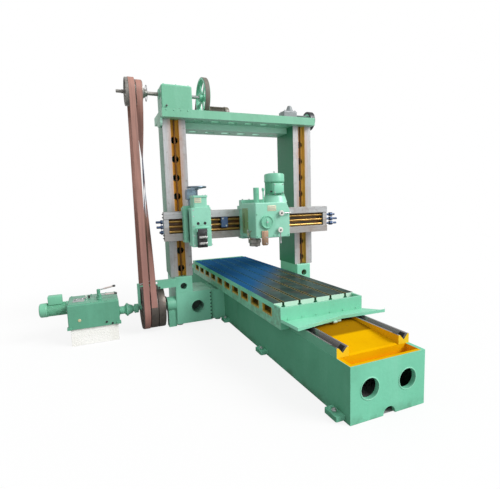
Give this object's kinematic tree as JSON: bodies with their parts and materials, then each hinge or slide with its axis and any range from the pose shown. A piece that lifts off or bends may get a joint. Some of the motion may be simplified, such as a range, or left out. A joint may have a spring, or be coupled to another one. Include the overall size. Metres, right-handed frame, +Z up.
{
  "type": "gantry milling machine",
  "caption": "Double-column gantry milling and planing machine: long bed, sliding table with clamping slots, lifting cross-rail with a tool head and a milling head, belt drive and feed gearbox.",
  "frame": {"origin": "on the floor at the middle of the bed's width, level with the machined front faces of the columns", "axes": "+X across the bed towards the milling head, +Y along the bed away from the cutting heads' side, +Z up"},
  "size_m": [3.872, 4.88, 3.1594],
  "materials": {
    "bed": "green enamel, yellow trough",
    "bed_ways": "machined grey iron",
    "levelling_screws": "turned steel",
    "column_left": "green enamel, machined front",
    "column_right": "green enamel, machined front",
    "pedestal_left": "green enamel",
    "pedestal_right": "green enamel",
    "elevating_screws": "turned steel",
    "top_beam": "green enamel",
    "elevating_gearbox": "green enamel",
    "bevel_bracket": "grey paint",
    "beam_end_cover": "green enamel",
    "elevating_motor": "dark paint",
    "motor_pulley": "turned steel",
    "elevating_belt": "flat belt",
    "open_belt": "flat belt",
    "crossed_belt": "flat belt",
    "belt_bracket": "green enamel",
    "drive_bearing": "green enamel",
    "gearbox_plinth": "pale block",
    "feed_gearbox": "green enamel",
    "feed_motor": "green enamel",
    "gearbox_lever_a": "steel",
    "gearbox_lever_b": "steel",
    "countershaft": "turned steel",
    "top_pulleys": "worn iron",
    "elevating_wheel": "green enamel",
    "drive_shaft": "steel and green",
    "drive_pulleys": "worn iron",
    "table": "green enamel",
    "table_deck": "blued machined top, green edges",
    "table_trays": "green sheet",
    "cross_rail": "machined ways, ochre recess",
    "rail_shafts": "turned steel",
    "rail_clamp": "blue",
    "tool_saddle": "green enamel",
    "tool_motor": "blue grey paint",
    "tool_slide": "green enamel",
    "tool_clapper": "dark steel",
    "tool_handwheel": "dark iron",
    "mill_head": "green enamel",
    "mill_spindle": "ground steel",
    "mill_motor": "green enamel",
    "mill_tube": "green enamel",
    "mill_boss": "green enamel",
    "mill_dial": "copper plate",
    "mill_lever_a": "steel, pale knob",
    "mill_lever_b": "steel, pale knob"
  },
  "bodies": {
    "frame": {"bed": "bed", "bed_ways": "bed_ways", "levelling_screws": "levelling_screws", "column_left": "column_left", "column_right": "column_right", "pedestal_left": "pedestal_left", "pedestal_right": "pedestal_right", "elevating_screws": "elevating_screws", "top_beam": "top_beam", "elevating_gearbox": "elevating_gearbox", "bevel_bracket": "bevel_bracket", "beam_end_cover": "beam_end_cover", "elevating_motor": "elevating_motor", "motor_pulley": "motor_pulley", "elevating_belt": "elevating_belt", "open_belt": "open_belt", "crossed_belt": "crossed_belt", "belt_bracket": "belt_bracket", "drive_bearing": "drive_bearing", "gearbox_plinth": "gearbox_plinth", "feed_gearbox": "feed_gearbox", "feed_motor": "feed_motor"},
    "overhead_shaft": {"countershaft": "countershaft", "top_pulleys": "top_pulleys"},
    "beam_wheel": {"elevating_wheel": "elevating_wheel"},
    "floor_shaft": {"drive_shaft": "drive_shaft", "drive_pulleys": "drive_pulleys"},
    "feed_lever_a": {"gearbox_lever_a": "gearbox_lever_a"},
    "feed_lever_b": {"gearbox_lever_b": "gearbox_lever_b"},
    "work_table": {"table": "table", "table_deck": "table_deck", "table_trays": "table_trays"},
    "rail": {"cross_rail": "cross_rail", "rail_shafts": "rail_shafts", "rail_clamp": "rail_clamp"},
    "tool_carriage": {"tool_saddle": "tool_saddle", "tool_motor": "tool_motor"},
    "tool_ram": {"tool_slide": "tool_slide"},
    "clapper": {"tool_clapper": "tool_clapper"},
    "tool_wheel": {"tool_handwheel": "tool_handwheel"},
    "mill_carriage": {"mill_head": "mill_head", "mill_motor": "mill_motor", "mill_tube": "mill_tube", "mill_boss": "mill_boss", "mill_dial": "mill_dial"},
    "spindle": {"mill_spindle": "mill_spindle"},
    "gear_lever_a": {"mill_lever_a": "mill_lever_a"},
    "gear_lever_b": {"mill_lever_b": "mill_lever_b"}
  },
  "joints": [
    {"name": "table_slide", "type": "slide", "parent": "frame", "child": "work_table", "axis": [0, 1, 0], "range_m": [-0.7, 1]},
    {"name": "rail_lift", "type": "slide", "parent": "frame", "child": "rail", "axis": [0, 0, 1], "range_m": [-0.25, 0.85]},
    {"name": "tool_traverse", "type": "slide", "parent": "rail", "child": "tool_carriage", "axis": [1, 0, 0], "range_m": [-0.15, 0.2]},
    {"name": "tool_feed", "type": "slide", "parent": "tool_carriage", "child": "tool_ram", "axis": [0, 0, 1], "range_m": [-0.1, 0.1]},
    {"name": "clapper_swing", "type": "hinge", "parent": "tool_ram", "child": "clapper", "pos_m": [-0.757, -0.5426, 1.272], "axis": [-1, 0, 0], "range_deg": [0, 25]},
    {"name": "tool_wheel_spin", "type": "hinge", "parent": "tool_ram", "child": "tool_wheel", "pos_m": [-0.772, -0.44, 1.761], "axis": [0, 0, 1], "continuous": true},
    {"name": "mill_traverse", "type": "slide", "parent": "rail", "child": "mill_carriage", "axis": [1, 0, 0], "range_m": [-0.2, 0.7]},
    {"name": "spindle_spin", "type": "hinge", "parent": "mill_carriage", "child": "spindle", "pos_m": [-0.12, -0.59, 1.1], "axis": [0, 0, 1], "continuous": true},
    {"name": "gear_lever_a_turn", "type": "hinge", "parent": "mill_carriage", "child": "gear_lever_a", "pos_m": [0.138, -0.8, 1.435], "axis": [0, 1, 0], "range_deg": [-60, 60]},
    {"name": "gear_lever_b_turn", "type": "hinge", "parent": "mill_carriage", "child": "gear_lever_b", "pos_m": [0.12, -0.8, 1.238], "axis": [0, 1, 0], "range_deg": [-60, 60]},
    {"name": "overhead_spin", "type": "hinge", "parent": "frame", "child": "overhead_shaft", "pos_m": [-1.4, 0.085, 2.918], "axis": [1, 0, 0], "continuous": true},
    {"name": "beam_wheel_spin", "type": "hinge", "parent": "frame", "child": "beam_wheel", "pos_m": [-0.4975, 0.085, 2.918], "axis": [1, 0, 0], "continuous": true},
    {"name": "floor_spin", "type": "hinge", "parent": "frame", "child": "floor_shaft", "pos_m": [-1.3, 0.06, 0.293], "axis": [1, 0, 0], "continuous": true},
    {"name": "feed_lever_a_turn", "type": "hinge", "parent": "frame", "child": "feed_lever_a", "pos_m": [-1.912, 0.06, 0.54], "axis": [0, 0, 1], "range_deg": [-30, 30]},
    {"name": "feed_lever_b_turn", "type": "hinge", "parent": "frame", "child": "feed_lever_b", "pos_m": [-1.902, -0.05, 0.52], "axis": [0, 0, 1], "range_deg": [-30, 30]}
  ]
}
